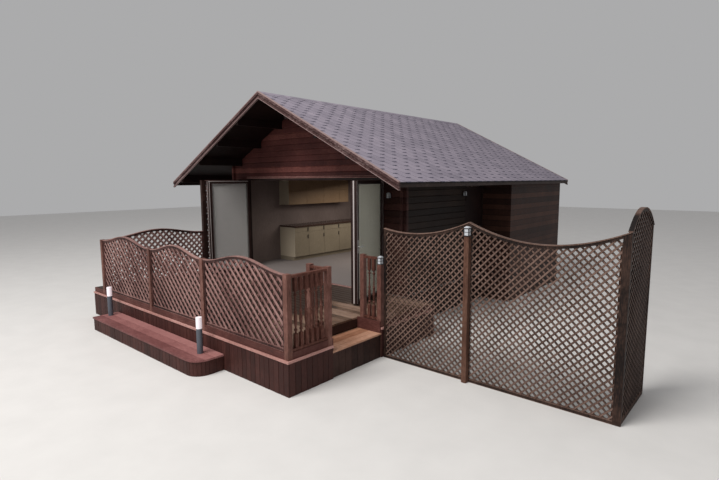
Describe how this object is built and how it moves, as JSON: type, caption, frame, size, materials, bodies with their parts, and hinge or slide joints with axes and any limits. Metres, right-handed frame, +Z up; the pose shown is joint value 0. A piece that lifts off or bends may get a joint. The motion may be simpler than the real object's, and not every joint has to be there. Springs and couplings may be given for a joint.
{
  "type": "beach hut",
  "caption": "Log-walled beach hut with a canopied gable, folded glass doors, a raised deck with lattice railings, a low platform and a lattice fence.",
  "frame": {"origin": "level ground under the middle of the front wall, on the ridge line, in the plane of the front wall's outer face", "axes": "+Z up, +Y towards the rear of the hut along the ridge, +X to the right seen from the front"},
  "size_m": [9.9343, 10.11, 4.4063],
  "materials": {
    "base_wood": "rough sawn, dark stained",
    "carpet": "short pile",
    "log": "dark brown stain, satin",
    "lining": "painted, matt",
    "shingle": "grey mineral granules",
    "trim": "weathered brown stain",
    "door_wood": "dark stain, satin",
    "pane": "clear, faint green",
    "blind": "matt slats",
    "handle": "satin",
    "store_board": "brown stain, satin",
    "unit": "cream paint, satin",
    "worktop": "dark, polished",
    "light_shell": "white and grey",
    "deck": "weathered boards",
    "skirt": "dark stain, worn",
    "lattice": "brown stain, worn",
    "spindle": "brown stain, satin",
    "bollard": "charcoal, satin",
    "lens": "opal white",
    "fence": "weathered brown stain"
  },
  "bodies": {
    "hut": {"base_frame": "base_wood", "floor_boards": "carpet", "front_walls": "log", "front_gable": "log", "left_wall": "log", "right_wall": "log", "rear_wall": "log", "inner_lining": "lining", "roof_boards": "shingle", "purlins": "base_wood", "barge_boards": "trim", "eave_fascias": "trim", "opening_frame": "door_wood", "left_leaves": "door_wood", "right_leaves": "door_wood", "leaf_panes": "pane", "leaf_blinds": "blind", "leaf_handles": "handle", "side_door_frame": "door_wood", "store_walls": "store_board", "kitchen_units": "unit", "worktop": "worktop", "lamps": "light_shell", "deck_frame": "base_wood", "deck_boards": "deck", "deck_skirt": "skirt", "kick_boards": "trim", "deck_ledge": "trim", "deck_posts": "lattice", "front_panel_1": "lattice", "front_panel_2": "lattice", "front_panel_3": "lattice", "left_panel": "lattice", "left_screen": "lattice", "balustrades": "spindle", "step": "deck", "platform": "deck", "bollards": "bollard", "bollard_lenses": "lens", "fence_posts": "fence", "fence_bay_1": "fence", "fence_bay_2": "fence", "fence_bay_3": "fence"},
    "side_door": {"side_door": "door_wood", "side_door_handle": "handle"}
  },
  "joints": [
    {"name": "side_door_hinge", "type": "hinge", "parent": "hut", "child": "side_door", "pos_m": [2.599, 2.24575, 0], "axis": [0, 0, -1], "range_deg": [0, 90]}
  ]
}
